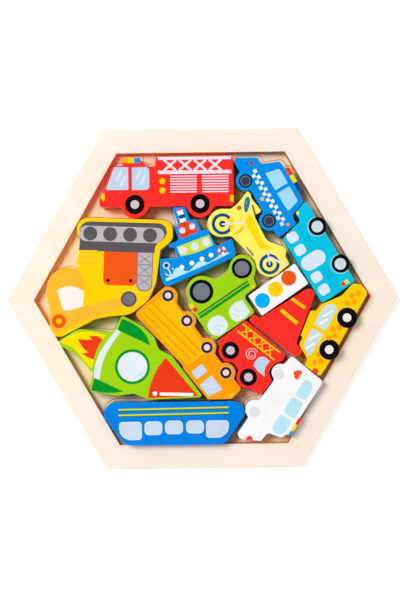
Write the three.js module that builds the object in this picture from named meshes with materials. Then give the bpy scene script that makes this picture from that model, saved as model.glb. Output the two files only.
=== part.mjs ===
// A hexagonal wooden tray with fifteen loose vehicle blocks that nest in its pocket as a puzzle.
// Millimetres, +Z up. The origin is the middle of the tray's underside.
import * as THREE from 'three';

// Tray sizes.
const TRAY_ACROSS_FLATS = 260;
const RIM_WIDTH = 18.5;
const RIM_HEIGHT = 7;
const BASE_THICKNESS = 3;
const TRAY_CORNER_RADIUS = 1.2;
const TRAY_ARRIS = 0.4;

// Block sizes that all the blocks share.
const BLOCK_THICKNESS = 15;
const BLOCK_ARRIS = 0.7;

// Clearances: under a block, between the outermost block and the rim, and the cut between blocks.
const SEAT_GAP = 0.3;
const WALL_GAP = 0.4;
const SAW_CUT = 0.4;

// Round stretches are drawn with one point for every step of this angle.
const ARC_STEP = THREE.MathUtils.degToRad(15);

// Least distance between two points of an outline.
const LEAST_STEP = 0.2;

const HEXAGON_SIDES = 6;

// An outline is a list of corners [x, y, rounding], counter-clockwise, in the block's own upright frame:
// x runs along the block, y goes up from its wheels, and every corner is rounded to its own radius.

// Two corners that round a wheel out of a straight edge at height belly, with a hollow fillet on each side.
function wheelLobe(x, y, radius, belly, fillet) {
  const drop = belly - y + radius;
  const flank = Math.acos(1 - drop / (radius + fillet));
  const foot = radius * Math.tan(flank / 2);
  const root = foot + drop / Math.tan(flank);
  return [
    [x - root, belly, fillet],
    [x - foot, y - radius, radius],
    [x + foot, y - radius, radius],
    [x + root, belly, fillet],
  ];
}

// Corners that follow a circle from one angle to another, in degrees.
function wheelArc(x, y, radius, from, to) {
  const widestStep = 75;
  const count = Math.ceil((to - from) / widestStep);
  const step = THREE.MathUtils.degToRad((to - from) / count);
  const reach = radius / Math.cos(step / 2);
  return Array.from({ length: count }, (_, i) => {
    const angle = THREE.MathUtils.degToRad(from) + step * (i + 0.5);
    return [x + reach * Math.cos(angle), y + reach * Math.sin(angle), radius];
  });
}

const fireEngine = {
  name: 'fire_engine_block',
  colour: 0xf8321f,
  at: [-25.6, 69.7],
  turn: 0,
  outline: [
    [-52, 0, 2.5],
    ...wheelLobe(-24.7, 2.3, 10.9, 0, 2.5),
    ...wheelLobe(24.7, 2.3, 10.9, 0, 2.5),
    [50.7, 0, 2.5],
    [50.7, 38, 3],
    [-8.6, 38, 2],
    [-9.3, 31, 1.5],
    [-16, 31, 2],
    [-20, 33.8, 1],
    [-20, 37.6, 1.2],
    [-34, 37.6, 1.2],
    [-34, 31.6, 1],
    [-41.4, 31.6, 4],
    [-51.6, 5, 8],
  ],
};

const policeCar = {
  name: 'police_car_block',
  colour: 0x048fe8,
  at: [42.8, 73.5],
  turn: -60.5,
  outline: [
    [-36.3, -0.8, 2.5],
    ...wheelLobe(-17.5, 0, 7.8, -0.8, 2),
    ...wheelLobe(17.5, 0, 7.8, -0.8, 2),
    [32.9, -0.8, 2.5],
    [30.2, 17, 2.5],
    [23.3, 17.2, 3],
    [18.6, 30, 2.5],
    [10, 30.4, 1],
    [9.2, 33.8, 1.2],
    [-10.2, 33.8, 1.2],
    [-11, 30.4, 1],
    [-17.6, 29.8, 3],
    [-23, 16.2, 2.5],
    [-28.4, 17, 3],
    [-36.3, 2.6, 3],
  ],
};

const tugboat = {
  name: 'tugboat_block',
  colour: 0x0688ea,
  at: [-2.3, 20],
  turn: 22,
  outline: [
    [-28.5, -1.5, 4.5],
    [31.5, -0.3, 5],
    [33.2, 14, 1.3],
    [20, 12.8, 2.5],
    [18.7, 28.2, 1.3],
    [14.2, 28.2, 1.2],
    [13.5, 38.4, 1.3],
    [9.2, 38.6, 1.5],
    [9.6, 49.7, 1.8],
    [0, 53.3, 1.8],
    [-0.8, 40, 2],
    [-4.2, 38.2, 1.8],
    [-5, 28.5, 1.5],
    [-13.9, 28.4, 1.3],
    [-13.9, 25.4, 1.3],
    [-10.3, 24, 1.3],
    [-11.2, 16.2, 1.2],
    [-23.4, 20.9, 1.3],
    [-28.5, 9, 12],
  ],
};

const motorcycle = {
  name: 'motorcycle_block',
  colour: 0xfdec5a,
  at: [33.7, 40.6],
  turn: -41.5,
  outline: [
    ...wheelArc(-23.5, 0, 11.5, 125, 305),
    [-12.3, -2.6, 5],
    [13, -5, 4],
    ...wheelArc(23.5, 0, 9.4, 225, 355),
    [35.2, 10.3, 1.5],
    [28.8, 13, 2],
    [26.5, 16.8, 2.5],
    [22.5, 17.6, 3],
    [10.5, 12.6, 8],
    [-9.3, 20.6, 1.2],
    [-7, 26, 1.3],
    [-8.6, 27.5, 1.5],
    [-19.2, 29.3, 2],
    [-22.6, 31.6, 1.5],
    [-25.8, 31.9, 1.3],
    [-25.2, 20, 12],
    [-26.6, 12.6, 3],
  ],
};

const excavator = {
  name: 'excavator_block',
  colour: 0xfccb04,
  at: [-61.7, 61.3],
  turn: 177.5,
  outline: [
    [-40.8, -0.2, 9],
    [32.6, 0, 9],
    [32.6, 13.5, 3],
    [30, 15.8, 2.5],
    [30.8, 28, 8],
    [32.2, 34, 3],
    [30.6, 39.2, 1],
    [41, 37.4, 16],
    [51.8, 44.3, 16],
    [55.1, 56, 18],
    [51, 72, 16],
    [50.8, 84.5, 7],
    [46, 92.2, 5.5],
    [40, 90.9, 5],
    [16.5, 77.3, 10],
    [6, 74.8, 12],
    [-10, 73.2, 16],
    [-24, 61.5, 14],
    [-29.3, 48, 14],
    [-31.8, 23, 4],
    [-40.8, 15.5, 7.5],
  ],
};

const tractor = {
  name: 'tractor_block',
  colour: 0x9fd10c,
  at: [14.9, 13.7],
  turn: 213.7,
  outline: [
    ...wheelArc(-17.6, 1.2, 10.4, 125, 300),
    [-7, -3, 6],
    [3, -2.8, 7],
    ...wheelArc(17.7, -1.4, 11.8, 215, 355),
    [29, -1.6, 2],
    [31.9, 1, 3],
    [31.9, 24, 10],
    [30.2, 35.2, 3],
    [-7.4, 35.2, 3],
    [-7, 20, 3],
    [-19.8, 19.2, 2],
    [-20.5, 13.5, 3],
  ],
};

const trafficLight = {
  name: 'traffic_light_block',
  colour: 0xf6f4f6,
  at: [57.9, 5.8],
  turn: 34.1,
  outline: [
    [-21.8, -9.5, 1.3],
    [21.8, -9.5, 1.3],
    [21.8, 9.5, 1.3],
    [-21.8, 9.5, 1.3],
  ],
};

const bus = {
  name: 'bus_block',
  colour: 0x04c4e4,
  at: [96.7, 39.3],
  turn: 121,
  outline: [
    [-33.9, -2.8, 2.5],
    ...wheelLobe(-16.8, 0, 7.3, -2.8, 1.2),
    ...wheelLobe(16.6, 0, 7.3, -2.8, 1.2),
    [38.2, -3.3, 2.5],
    [34.2, 9, 1.5],
    [27.1, 8.9, 2],
    [23, 27.4, 3],
    [-34.9, 27.9, 2],
    [-35.4, 18, 20],
  ],
};

const taxi = {
  name: 'taxi_block',
  colour: 0xfcd003,
  at: [102.8, -28.2],
  turn: 60.1,
  outline: [
    [-35.5, -4.2, 2.5],
    ...wheelLobe(-13.8, 0, 8.1, -5, 1.2),
    ...wheelLobe(13.8, 0, 8.1, -5, 1.2),
    [38.6, -4.8, 3.5],
    [41.2, 3, 3],
    [39.4, 9, 3.5],
    [27, 11.7, 8],
    [13.5, 22.2, 5],
    [7.6, 23, 1],
    [5.2, 27.1, 1.2],
    [-15, 24.4, 1.2],
    [-16, 22.3, 0.8],
    [-22, 21.9, 3],
    [-28.3, 10.9, 1.5],
    [-33.6, 10.6, 1.5],
  ],
};

const ladderTruck = {
  name: 'ladder_truck_block',
  colour: 0xfa3426,
  at: [27.5, -50],
  turn: -56.9,
  outline: [
    [-23.8, -3.6, 1.5],
    ...wheelLobe(-12, 0, 9.2, -3.6, 1.5),
    ...wheelLobe(12.2, 0, 9.1, -3.4, 1.5),
    [28.2, -0.6, 2],
    [27.7, 6, 5],
    [24.8, 13.7, 2.5],
    [17.5, 15, 4.5],
    [15.3, 22, 4.5],
    [16.8, 29, 4],
    [13.5, 33.7, 3],
    [7, 31.6, 8],
    [-19.5, 24.3, 8],
    [-24.9, 22.5, 2],
  ],
};

const trafficCone = {
  name: 'traffic_cone_block',
  colour: 0xf93325,
  at: [54.5, -31],
  turn: -38,
  outline: [
    [-24.1, -1.7, 2.5],
    [23.6, -2, 3],
    [23, 5, 2.5],
    [15.6, 7.2, 2.5],
    [4, 46.8, 4],
    [-2.6, 46.8, 4],
    [-18, 5.7, 1.5],
    [-24.1, 5.1, 2.5],
  ],
};

const lorry = {
  name: 'lorry_block',
  colour: 0xfda406,
  at: [-4.4, -27.1],
  turn: 126.2,
  outline: [
    [-54.2, -2.4, 3],
    ...wheelLobe(-36.6, 0, 7.5, -2.2, 2),
    ...wheelLobe(-12.7, 0, 7.5, -2.2, 2),
    ...wheelLobe(12.7, 0, 7.3, -2.2, 2),
    [27.6, -2.2, 2.5],
    ...wheelArc(36.4, 0, 7.1, 222, 365),
    [40.9, 29.2, 3.5],
    [-12, 23.1, 3],
    [-15.2, 24.3, 1.2],
    [-45, 23.4, 2.5],
    [-55.6, 8.5, 4],
  ],
};

const rocket = {
  name: 'rocket_block',
  colour: 0xa2d41c,
  at: [-52.9, -51],
  turn: -25,
  outline: [
    [-60.2, -6.4, 1.3],
    [-56.4, -8.8, 2],
    [-43, -10.2, 12],
    [-25.5, -17.7, 3],
    [-22.8, -31.3, 2.2],
    [-2, -26, 14],
    [9, -19, 5],
    [21, -18.7, 4],
    [59, 0.5, 2],
    [23.5, 19.5, 6],
    [12.5, 19.8, 5],
    [5.5, 27, 4],
    [-6, 30.9, 14],
    [-24, 32, 2.2],
    [-24.6, 17.2, 3.5],
    [-50, 9, 12],
  ],
};

const train = {
  name: 'train_block',
  colour: 0x0284e6,
  at: [-21.9, -78.2],
  turn: 180,
  outline: [
    [-52.6, 0, 9],
    [53.2, 0, 9],
    [54.1, 11, 6],
    [38, 33.1, 9],
    [-37.5, 33.1, 9],
    [-53.5, 11, 6],
  ],
};

const ambulance = {
  name: 'ambulance_block',
  colour: 0xf8f6f8,
  at: [48.6, -72.4],
  turn: 236.5,
  outline: [
    [-34, 0.2, 2.5],
    ...wheelLobe(-18.3, 0, 6.9, -1.2, 2),
    ...wheelLobe(15.7, -0.7, 7.9, -2.2, 2),
    [42.9, -2.7, 3.8],
    [33.5, 16, 3],
    [25.6, 16.8, 2.5],
    [23, 28, 4],
    [18.8, 29.3, 1],
    [18.3, 32.9, 1.2],
    [2.6, 33.1, 1.2],
    [1.8, 31.3, 1],
    [-30.4, 31.3, 3],
  ],
};

const BLOCKS = [
  fireEngine,
  policeCar,
  tugboat,
  motorcycle,
  excavator,
  tractor,
  trafficLight,
  bus,
  taxi,
  ladderTruck,
  trafficCone,
  lorry,
  rocket,
  train,
  ambulance,
];

// A block's corners as points with their roundings, in its own upright frame, at a scale.
function uprightCorners(block, scale) {
  return block.outline.map(([x, y, rounding]) => ({
    point: new THREE.Vector2(x * scale, y * scale),
    rounding: rounding * scale,
  }));
}

// Every edge moved inwards by the same distance: outer roundings shrink by it and hollow ones grow.
function inset(corners, distance) {
  return corners.map(({ point, rounding }, i) => {
    const before = corners.at(i - 1).point;
    const after = corners[(i + 1) % corners.length].point;
    const arriving = point.clone().sub(before).normalize();
    const leaving = after.clone().sub(point).normalize();
    const bend = arriving.cross(leaving);
    const slide = distance / (1 + arriving.dot(leaving));
    const across = arriving.clone().add(leaving);
    const moved = new THREE.Vector2(point.x - across.y * slide, point.y + across.x * slide);
    return { point: moved, rounding: rounding - Math.sign(bend) * distance };
  });
}

// The corners with each one replaced by its arc, limited to what its two edges have room for.
function roundCorners(corners) {
  const count = corners.length;
  const edges = corners.map(({ point }, i) => corners[(i + 1) % count].point.clone().sub(point));
  const bends = corners.map((_, i) => {
    const arriving = edges.at(i - 1);
    return Math.atan2(arriving.cross(edges[i]), arriving.dot(edges[i]));
  });
  const wanted = corners.map(({ rounding }, i) => rounding * Math.tan(Math.abs(bends[i]) / 2));
  const room = edges.map((edge, i) => Math.min(1, edge.length() / (wanted[i] + wanted[(i + 1) % count])));
  const points = [];
  corners.forEach(({ point }, i) => {
    const reach = wanted[i] * Math.min(room.at(i - 1), room[i]);
    const start = point.clone().addScaledVector(edges.at(i - 1).clone().normalize(), -reach);
    const radius = reach / Math.tan(Math.abs(bends[i]) / 2);
    const inward = edges.at(i - 1).clone().normalize().rotateAround(new THREE.Vector2(), Math.PI / 2);
    const centre = start.clone().addScaledVector(inward, radius * Math.sign(bends[i]));
    const steps = Math.max(1, Math.ceil(Math.abs(bends[i]) / ARC_STEP));
    for (let step = 0; step <= steps; step += 1) {
      const next = start.clone().rotateAround(centre, (bends[i] * step) / steps);
      if (points.length === 0 || next.distanceTo(points.at(-1)) > LEAST_STEP) points.push(next);
    }
  });
  if (points[0].distanceTo(points.at(-1)) <= LEAST_STEP) points.pop();
  return points;
}

// How far a point reaches towards the nearest flat of a hexagon that has its corners on the X axis.
function reachToFlat(point) {
  const towards = Array.from({ length: HEXAGON_SIDES }, (_, i) => ((i + 0.5) * 2 * Math.PI) / HEXAGON_SIDES);
  return Math.max(...towards.map((angle) => point.x * Math.cos(angle) + point.y * Math.sin(angle)));
}

function hexagonCorners(acrossFlats, rounding) {
  const cornerReach = acrossFlats / 2 / Math.cos(Math.PI / HEXAGON_SIDES);
  return Array.from({ length: HEXAGON_SIDES }, (_, i) => {
    const angle = (i * 2 * Math.PI) / HEXAGON_SIDES;
    const point = new THREE.Vector2(cornerReach * Math.cos(angle), cornerReach * Math.sin(angle));
    return { point, rounding };
  });
}

// A board cut to a shape, with its upper and lower arrises taken off, standing on z = 0.
function board(shape, thickness, arris) {
  const geometry = new THREE.ExtrudeGeometry(shape, {
    depth: thickness - 2 * arris,
    bevelThickness: arris,
    bevelSize: arris,
    bevelOffset: -arris,
    bevelSegments: 1,
  });
  return geometry.translate(0, 0, arris);
}

function piece(name, geometry, colour, roughness) {
  const material = new THREE.MeshStandardMaterial({ color: colour, roughness, metalness: 0 });
  const mesh = new THREE.Mesh(geometry, material);
  mesh.name = name;
  return mesh;
}

const BIRCH = 0xf3e3cd;
const BIRCH_ROUGHNESS = 0.7;
const PAINT_ROUGHNESS = 0.45;
const pocketAcrossFlats = TRAY_ACROSS_FLATS - 2 * RIM_WIDTH;
const trayOutline = roundCorners(hexagonCorners(TRAY_ACROSS_FLATS, TRAY_CORNER_RADIUS));

function trayBase() {
  const geometry = board(new THREE.Shape(trayOutline), BASE_THICKNESS, TRAY_ARRIS);
  return piece('tray_base', geometry, BIRCH, BIRCH_ROUGHNESS);
}

function trayFrame() {
  const shape = new THREE.Shape(trayOutline);
  const pocket = hexagonCorners(pocketAcrossFlats, 0).map(({ point }) => point);
  shape.holes.push(new THREE.Path(pocket));
  const mesh = piece('tray_frame', board(shape, RIM_HEIGHT, TRAY_ARRIS), BIRCH, BIRCH_ROUGHNESS);
  mesh.position.z = BASE_THICKNESS;
  return mesh;
}

// How far a block reaches towards the rim where the layout puts it.
function blockReach(block) {
  const turn = THREE.MathUtils.degToRad(block.turn);
  const place = new THREE.Vector2(...block.at);
  const outline = roundCorners(uprightCorners(block, 1));
  const laidOut = outline.map((point) => point.rotateAround(new THREE.Vector2(), turn).add(place));
  return Math.max(...laidOut.map(reachToFlat));
}

// The layout is drawn at full size and fitted to the pocket, so that its outermost block clears the rim.
const drawnReach = Math.max(...BLOCKS.map(blockReach));
const layoutScale = (pocketAcrossFlats / 2 - WALL_GAP + SAW_CUT / 2) / drawnReach;

function vehicleBlock(block) {
  const outline = roundCorners(inset(uprightCorners(block, layoutScale), SAW_CUT / 2));
  const geometry = board(new THREE.Shape(outline), BLOCK_THICKNESS, BLOCK_ARRIS);
  const mesh = piece(block.name, geometry, block.colour, PAINT_ROUGHNESS);
  const [x, y] = block.at;
  mesh.position.set(x * layoutScale, y * layoutScale, BASE_THICKNESS + SEAT_GAP);
  mesh.rotation.z = THREE.MathUtils.degToRad(block.turn);
  return mesh;
}

const puzzle = new THREE.Group();
puzzle.add(trayBase(), trayFrame(), ...BLOCKS.map(vehicleBlock));

export default puzzle;
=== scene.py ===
"""Looks of a wooden vehicle shape puzzle: a hexagonal tray and fifteen painted blocks.

Each block is recut from its CAD outline with a rounded arris, and its top is divided along the
edges of its print, so that every paint is a face of the mesh and not a picture on it.
Print shapes are in millimetres, in the block's own upright frame, and PLACES sets them down.
"""

import math

import bmesh
import bpy
from bpy.props import FloatProperty, FloatVectorProperty, PointerProperty
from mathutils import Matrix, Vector
from mathutils.geometry import delaunay_2d_cdt


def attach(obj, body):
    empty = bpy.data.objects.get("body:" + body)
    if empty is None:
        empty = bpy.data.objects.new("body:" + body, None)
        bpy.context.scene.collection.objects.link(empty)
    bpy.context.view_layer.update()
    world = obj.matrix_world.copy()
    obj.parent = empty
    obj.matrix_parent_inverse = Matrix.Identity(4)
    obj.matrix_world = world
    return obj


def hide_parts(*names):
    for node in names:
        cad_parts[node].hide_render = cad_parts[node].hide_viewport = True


bl_info = {
    "name": "Vehicle shape puzzle",
    "version": (1, 0, 0),
    "blender": (4, 5, 0),
    "location": "View3D > Sidebar > Puzzle",
    "description": "Dresses the packed puzzle: wooden tray, painted and printed blocks, studio stage",
    "category": "Object",
}

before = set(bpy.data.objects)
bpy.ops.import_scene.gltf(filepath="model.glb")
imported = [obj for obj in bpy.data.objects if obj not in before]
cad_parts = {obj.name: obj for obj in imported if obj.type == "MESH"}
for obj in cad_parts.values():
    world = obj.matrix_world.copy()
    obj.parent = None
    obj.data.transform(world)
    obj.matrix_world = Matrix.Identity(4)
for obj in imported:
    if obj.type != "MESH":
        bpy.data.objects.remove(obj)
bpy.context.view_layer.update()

MM = 0.001

# Where each block lies in the tray: x and y in millimetres, and its turn in degrees.
PLACES = {
    "fire_engine": (-25.6, 69.7, 0.0),
    "police_car": (42.8, 73.5, -60.5),
    "tugboat": (-2.3, 20.0, 22.0),
    "motorcycle": (33.7, 40.6, -41.5),
    "excavator": (-61.7, 61.3, 177.5),
    "tractor": (14.9, 13.7, 213.7),
    "traffic_light": (57.9, 5.8, 34.1),
    "bus": (96.7, 39.3, 121.0),
    "taxi": (102.8, -28.2, 60.1),
    "ladder_truck": (27.5, -50.0, -56.9),
    "traffic_cone": (54.5, -31.0, -38.0),
    "lorry": (-4.4, -27.1, 126.2),
    "rocket": (-52.9, -51.0, -25.0),
    "train": (-21.9, -78.2, 180.0),
    "ambulance": (48.6, -72.4, 236.5),
}


# Settings.


def paint(name, use, *display):
    """A paint of the palette, as its display colour from 0 to 255."""
    return FloatVectorProperty(
        name=name, description=f"Paint of {use}", subtype="COLOR_GAMMA", size=3, min=0.0, max=1.0,
        default=tuple(level / 255 for level in display))


def setting(name, description, default, **more):
    return FloatProperty(name=name, description=description, default=default, **more)


def length(name, description, millimetres):
    return setting(name, description, millimetres * MM, min=0.0, unit="LENGTH", precision=5)


class PaintColours(bpy.types.PropertyGroup):
    """The paints and printing inks of the blocks, and the woods of the tray."""

    red: paint("Red", "the fire engine, ladder truck, cone and red lamps", 253, 48, 40)
    flame_red: paint("Flame red", "the rocket's nose and flame and the tugboat's cabin", 240, 60, 24)
    brick: paint("Brick", "the police car's front lamp", 176, 34, 44)
    orange_red: paint("Orange red", "the excavator's engine cover and a traffic lamp", 243, 88, 22)
    orange: paint("Orange", "the lorry and the taxi's chequers", 255, 160, 4)
    amber: paint("Amber", "the excavator's arm and vents", 253, 186, 48)
    yellow: paint("Yellow", "the excavator, taxi and yellow lamps", 254, 208, 4)
    lemon: paint("Lemon", "the motorcycle", 255, 240, 100)
    gold: paint("Gold", "the motorcycle's seat and mudguard", 255, 217, 8)
    sun: paint("Sun yellow", "the lorry's load box", 254, 192, 8)
    citron: paint("Citron", "the rocket's flame and the yellow beacons", 246, 226, 6)
    lime: paint("Lime", "the tractor and rocket", 160, 212, 20)
    leaf: paint("Leaf green", "the rocket's fins and ring and the tractor's stripe", 0, 150, 42)
    forest: paint("Forest green", "the thin lines of the tractor and train", 0, 116, 52)
    zest: paint("Zest", "the train's two stripes", 222, 224, 14)
    yellow_green: paint("Yellow green", "the tugboat's deck band", 200, 225, 64)
    blue: paint("Blue", "the police car and tugboat", 0, 143, 232)
    lamp_blue: paint("Lamp blue", "the blue lamps of the traffic light and ambulance", 2, 178, 246)
    rail_blue: paint("Rail blue", "the train", 0, 131, 230)
    navy: paint("Navy", "the motorcycle's wheels and other dark bands", 12, 70, 142)
    teal: paint("Teal", "the motorcycle's screen", 32, 122, 160)
    cyan: paint("Cyan", "the bus", 0, 196, 228)
    deep_cyan: paint("Deep cyan", "the lines on the bus", 0, 172, 206)
    sky: paint("Sky", "the police car's windows", 164, 220, 250)
    pale_blue: paint("Pale blue", "the lorry's and train's windows", 204, 220, 241)
    ice: paint("Ice", "the rocket's and tractor's windows", 226, 238, 241)
    mist: paint("Mist", "the tugboat's and bus windows, and the light edge of the train's", 220, 232, 246)
    glass: paint("Glass", "the fire engine's and ladder truck's windows", 188, 213, 237)
    mint: paint("Mint", "the taxi's windows and the bus hubs", 206, 225, 231)
    lagoon: paint("Lagoon", "the rings round the bus wheels", 120, 206, 226)
    aqua: paint("Aqua", "the ambulance's windows and the tugboat's waves", 188, 233, 247)
    white: paint("White", "the ambulance, traffic light, chequers and dots", 250, 248, 250)
    lilac: paint("Lilac white", "the white ladder, the louvres and glints", 236, 226, 240)
    rose: paint("Rose white", "the fire engine's and ladder truck's hubs", 214, 192, 203)
    petal: paint("Petal", "the lorry's hubs and the coiled hose", 236, 212, 213)
    blush: paint("Blush", "the taxi's hubs and the opening under the excavator's arm", 252, 238, 232)
    black: paint("Black", "most tyres", 14, 8, 9)
    soot: paint("Soot", "the lorry's tyres", 50, 40, 44)
    slate: paint("Slate", "the police car's wheel rings", 96, 106, 126)
    dark_slate: paint("Dark slate", "the police car's hubs", 52, 60, 82)
    light_grey: paint("Light grey", "the excavator's track and mast", 190, 182, 186)
    mid_grey: paint("Mid grey", "the tractor's hubs", 116, 123, 130)
    pearl: paint("Pearl", "the ambulance's wheels and the motorcycle's struts", 229, 230, 234)
    dark_grey: paint("Dark grey", "the excavator's track and rollers", 90, 86, 90)
    mauve: paint("Mauve grey", "the excavator's pivot and the edges of its mast", 122, 112, 122)
    lavender: paint("Lavender", "the rims of the lorry's wheels", 188, 172, 172)
    rim_wood: paint("Rim wood", "the tray's birch rim, left unpainted", 254, 240, 226)
    floor_wood: paint("Floor wood", "the tray's birch floor, left unpainted", 253, 228, 194)
    burnt_wood: paint("Burnt wood", "the edges and lines that a laser has cut", 142, 92, 56)


class PuzzleSizes(bpy.types.PropertyGroup):
    """Sizes of what is only on the surface. The CAD model holds all the others."""

    ink_height: length("Ink height", "How far a printed row stands above the paint", 0.05)
    ink_depth: length("Ink depth", "How far a printed row reaches into the paint", 0.03)
    line_width: length("Line width", "Width of the lines burnt into the tray floor", 0.5)
    line_height: length("Line height", "Height of the crust of a burnt line", 0.04)
    line_offset: length("Line offset", "How far outside its block a burnt line runs", 1.5)
    ply: length("Ply", "Thickness of one layer of the plywood", 1.4)


class StageSettings(bpy.types.PropertyGroup):
    """The camera and the studio light."""

    camera_height: length("Camera height", "Height of the camera above the tray's underside", 750)
    camera_x: setting("Camera x", "Where the camera stands, across the picture", -1.76 * MM,
                      unit="LENGTH", precision=5)
    camera_y: setting("Camera y", "Where the camera stands, up the picture", -1.3 * MM,
                      unit="LENGTH", precision=5)
    camera_turn: setting("Camera turn", "Turn of the camera about its own line of sight",
                         math.radians(-0.7), subtype="ANGLE")
    lens: setting("Lens", "Focal length in millimetres, on a sensor 36 mm high", 57.9, min=1.0)
    key_power: setting("Key power", "Power of the soft light at the upper left, in watts", 55.0,
                       min=0.0, subtype="POWER")
    fill_power: setting("Fill power", "Power of each of the three soft fill lights, in watts", 8.0,
                        min=0.0, subtype="POWER")
    surround: setting("Surround", "Strength of the white surround at the horizon", 0.3, min=0.0)
    overhead: setting("Overhead", "Strength of the surround straight above, which gloss mirrors", 0.12,
                      min=0.0)
    backdrop: setting("Backdrop", "How bright the surround looks behind the tray, in low views", 0.7,
                      min=0.0)
    floor_glow: setting("Floor glow", "Light of the white floor itself, as on a light table", 0.5,
                        min=0.0)


# Plane shapes, in millimetres.

CORNER_STEP = 12.0      # degrees between two points of a rounded corner
FLAT_CORNER = 176.0     # degrees: a corner blunter than this isn't rounded
SIDE_SHARE = 0.98       # most of a side that its two roundings may take up
STAR_WAIST = 0.45       # radius of a star's inner corners, as a share of its outer one


def signed_area(points):
    return 0.5 * sum(a[0] * b[1] - b[0] * a[1] for a, b in zip(points, points[1:] + points[:1]))


def anticlockwise(points):
    return points if signed_area(points) > 0 else points[::-1]


def arc(x, y, rx, ry, start, end, step=10.0):
    """Points of an elliptical arc from start to end, at most step apart, in degrees."""
    count = max(2, math.ceil(abs(end - start) / step))
    turns = [math.radians(start + (end - start) * i / count) for i in range(count + 1)]
    return [(x + rx * math.cos(t), y + ry * math.sin(t)) for t in turns]


def disc(x, y, radius, tall=None):
    """A disc, or an ellipse where tall gives its other half size."""
    return arc(x, y, radius, tall or radius, 0, 360)[:-1]


def panel(*corners):
    """A polygon whose corners are (x, y) or (x, y, rounding)."""
    count = len(corners)
    bends = []
    for i, corner in enumerate(corners):
        here = Vector(corner[:2])
        before = Vector(corners[i - 1][:2]) - here
        after = Vector(corners[(i + 1) % count][:2]) - here
        angle = before.angle(after)
        radius = corner[2] if len(corner) > 2 and angle < math.radians(FLAT_CORNER) else 0.0
        bends.append((here, before, after, angle, radius / math.tan(angle / 2)))
    out = []
    for i, (here, before, after, angle, wanted) in enumerate(bends):
        if wanted <= 0:
            out.append(tuple(here))
            continue
        reach = wanted
        for side, beside in ((before, bends[i - 1]), (after, bends[(i + 1) % count])):
            reach = min(reach, wanted * SIDE_SHARE * side.length / (wanted + beside[-1]))
        radius = reach * math.tan(angle / 2)
        before, after = before.normalized(), after.normalized()
        middle = here + (before + after).normalized() * (radius / math.sin(angle / 2))
        first, last = here + before * reach - middle, here + after * reach - middle
        sweep = first.angle_signed(last)
        steps = max(2, math.ceil(abs(sweep) / math.radians(CORNER_STEP)))
        start = math.atan2(first.y, first.x)
        for k in range(steps + 1):
            turn = start - sweep * k / steps
            out.append((middle.x + radius * math.cos(turn), middle.y + radius * math.sin(turn)))
    return anticlockwise(out)


def box(x0, y0, x1, y1, rounding=0.0):
    return panel((x0, y0, rounding), (x1, y0, rounding), (x1, y1, rounding), (x0, y1, rounding))


def square(x, y, side):
    return box(x - side / 2, y - side / 2, x + side / 2, y + side / 2)


def band(points, width):
    """A stroke along points."""
    left, right = [], []
    for i, point in enumerate(points):
        ahead = Vector(points[min(i + 1, len(points) - 1)]) - Vector(points[max(i - 1, 0)])
        across = ahead.orthogonal().normalized() * (width / 2)
        left.append(tuple(Vector(point) + across))
        right.append(tuple(Vector(point) - across))
    return anticlockwise(left + right[::-1])


def stroke(x0, y0, x1, y1, width, blunt=False):
    """A straight stroke with round ends, or square ones where it is blunt."""
    if blunt:
        return band([(x0, y0), (x1, y1)], width)
    turn = math.degrees(math.atan2(y1 - y0, x1 - x0))
    half = width / 2
    return (arc(x1, y1, half, half, turn - 90, turn + 90, step=30)
            + arc(x0, y0, half, half, turn + 90, turn + 270, step=30))


def curved(x, y, radius, start, end, width):
    """A band along an arc."""
    return band(arc(x, y, radius, radius, start, end, step=8), width)


def coil(x, y, inner, outer, start, sweep, width, steps=36):
    """A band wound clockwise from its inner to its outer radius."""
    points = []
    for i in range(steps + 1):
        turn = math.radians(start - sweep * i / steps)
        reach = inner + (outer - inner) * i / steps
        points.append((x + reach * math.cos(turn), y + reach * math.sin(turn)))
    return band(points, width)


def star(x, y, radius):
    """A five-pointed star."""
    points = []
    for i in range(10):
        reach = radius if i % 2 == 0 else radius * STAR_WAIST
        turn = math.radians(90 + 36 * i)
        points.append((x + reach * math.cos(turn), y + reach * math.sin(turn)))
    return points


def heart(x, y, size):
    """A plain heart, point down, as wide as size. Its curve is 32 units wide."""
    points = []
    for t in [math.radians(degrees) for degrees in range(0, 360, 10)]:
        across = 16 * math.sin(t) ** 3
        up = 13 * math.cos(t) - 5 * math.cos(2 * t) - 2 * math.cos(3 * t) - math.cos(4 * t)
        points.append((x + across * size / 32, y + up * size / 32))
    return anticlockwise(points)


def crossing(half_wide, half_high, width):
    """Two strokes that cross, from corner to corner of a box."""
    slope = math.atan2(half_high, half_wide)
    away_x, away_y = math.sin(slope) * width / 2, math.cos(slope) * width / 2
    notch_x, notch_y = width / 2 / math.sin(slope), width / 2 / math.cos(slope)
    return [
        (notch_x, 0), (half_wide + away_x, half_high - away_y),
        (half_wide - away_x, half_high + away_y), (0, notch_y),
        (-half_wide + away_x, half_high + away_y), (-half_wide - away_x, half_high - away_y),
        (-notch_x, 0), (-half_wide - away_x, -half_high + away_y),
        (-half_wide + away_x, -half_high - away_y), (0, -notch_y),
        (half_wide - away_x, -half_high - away_y), (half_wide + away_x, -half_high + away_y),
    ]


def turned(points, degrees, x=0.0, y=0.0):
    """Points turned about the origin and then moved."""
    c, s = math.cos(math.radians(degrees)), math.sin(math.radians(degrees))
    return [(x + p * c - q * s, y + p * s + q * c) for p, q in points]


def laid_down(block, points):
    """Points of a block's upright frame, where the block lies in the tray."""
    x, y, turn = PLACES[block]
    return turned(points, turn, x, y)


def rings(x, y, **radii):
    """Layers of a wheel: a disc in each paint, the widest first."""
    return [(ink, disc(x, y, radius)) for ink, radius in radii.items()]


def light_bar(low, high, ends, *inks):
    """Layers of a row of beacons between two heights: their ends along x, and their paints."""
    return [(ink, box(a, low, b, high)) for ink, a, b in zip(inks, ends, ends[1:])]


# Outlines of the CAD solids.

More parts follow.
